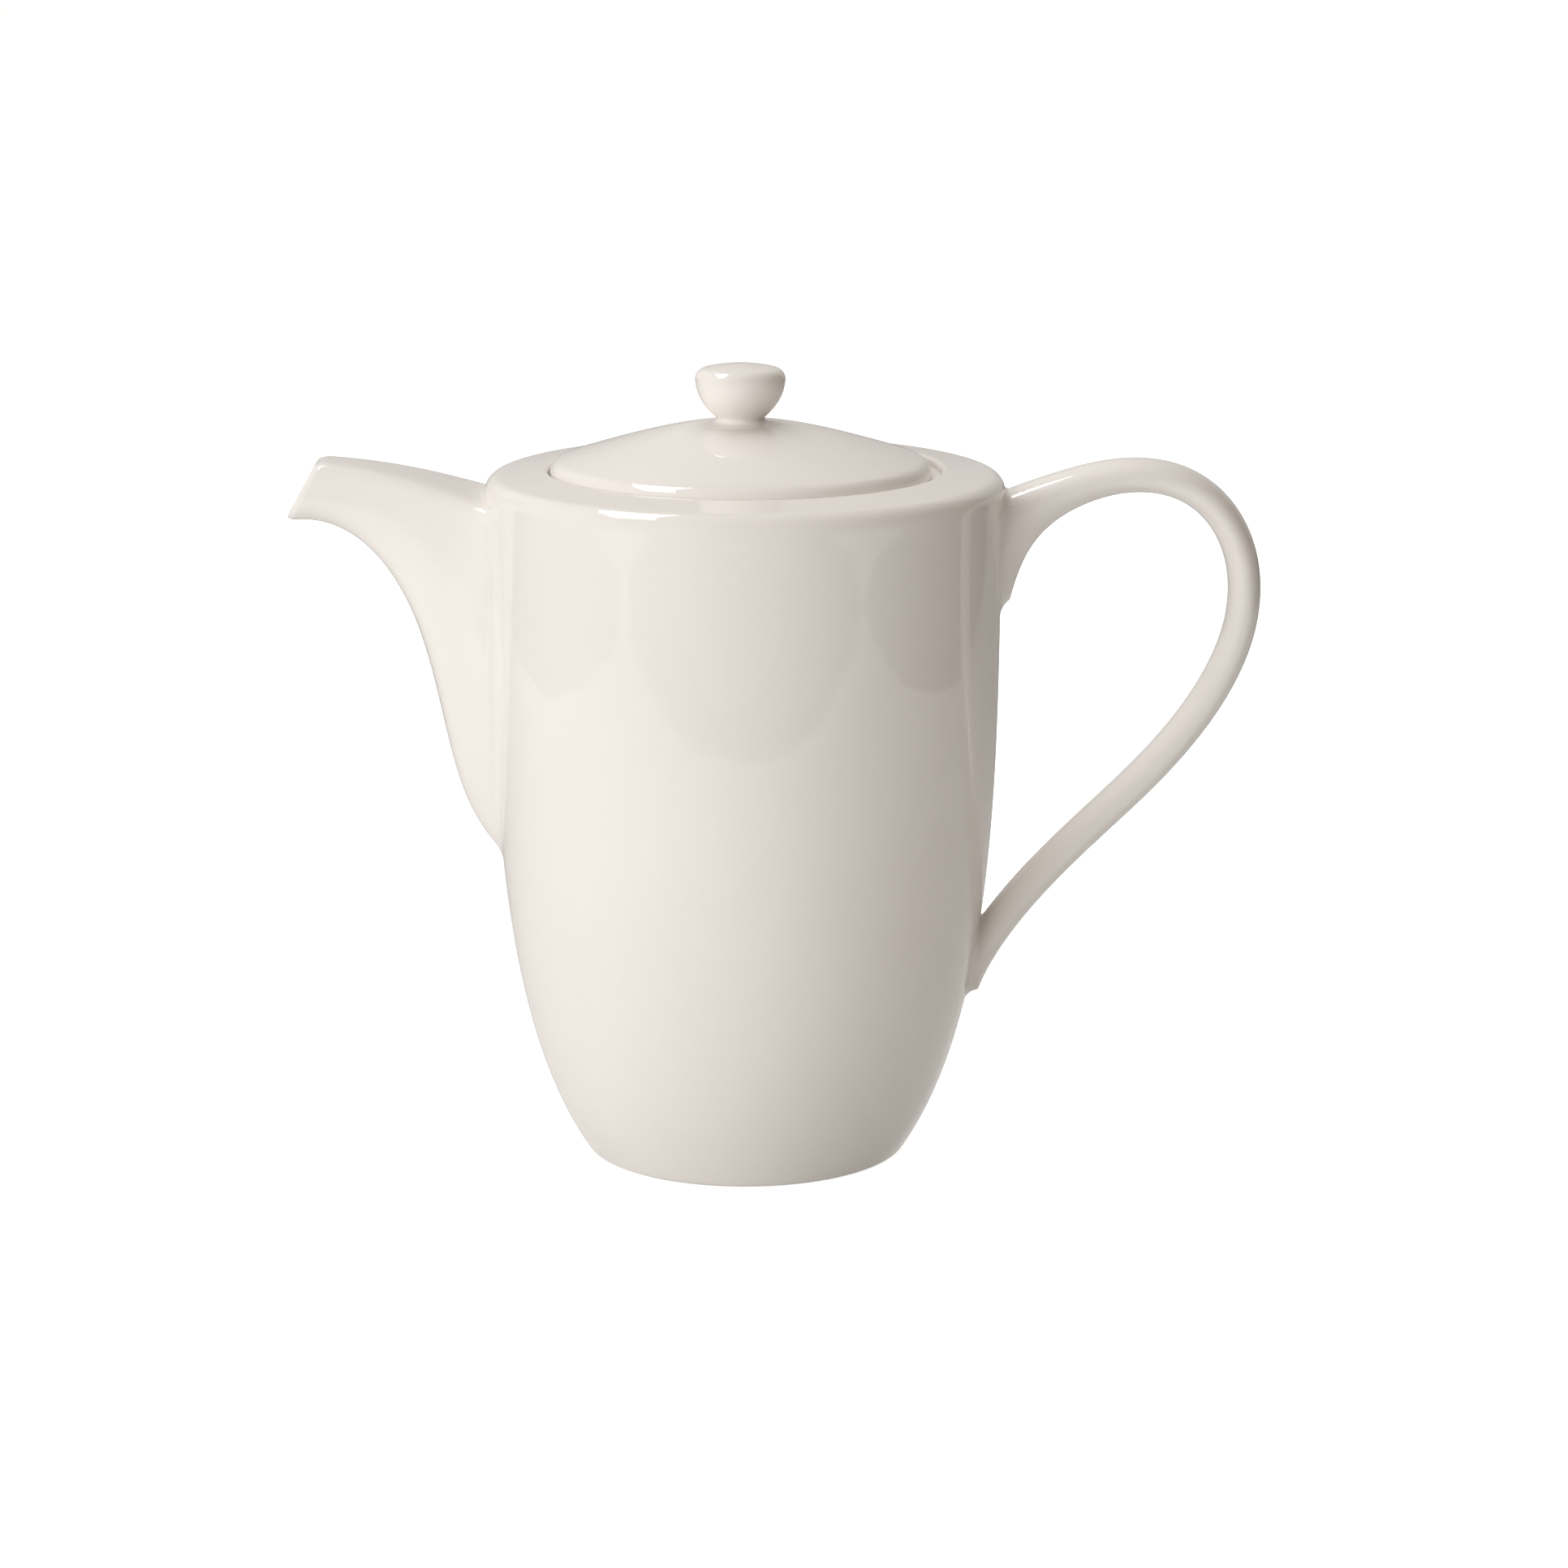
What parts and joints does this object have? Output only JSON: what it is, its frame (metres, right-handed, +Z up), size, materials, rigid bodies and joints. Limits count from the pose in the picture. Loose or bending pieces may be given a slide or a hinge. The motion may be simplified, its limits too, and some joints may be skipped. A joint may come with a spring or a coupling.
{
  "type": "coffee pot",
  "caption": "Glazed porcelain coffee pot: tall turned body on a small foot, short beak spout, loop handle and a loose domed lid with a knob.",
  "frame": {"origin": "middle of the foot ring, on the surface the pot stands on and on the axis of the turned body", "axes": "+X from the body's axis to the handle, so the spout points along -X; +Z up, along the body's axis; +Y to the pot's far side in the picture"},
  "size_m": [0.2376, 0.1267, 0.1963],
  "materials": {
    "glazed_porcelain": "clear gloss glaze over ivory white porcelain"
  },
  "bodies": {
    "pot": {"pot_body": "glazed_porcelain", "spout": "glazed_porcelain", "handle": "glazed_porcelain"},
    "lid": {"lid": "glazed_porcelain", "lid_knob": "glazed_porcelain"}
  },
  "joints": [
    {"name": "lid_lift", "type": "slide", "parent": "pot", "child": "lid", "axis": [0, 0, 1], "range_m": [0, 0.06]}
  ]
}
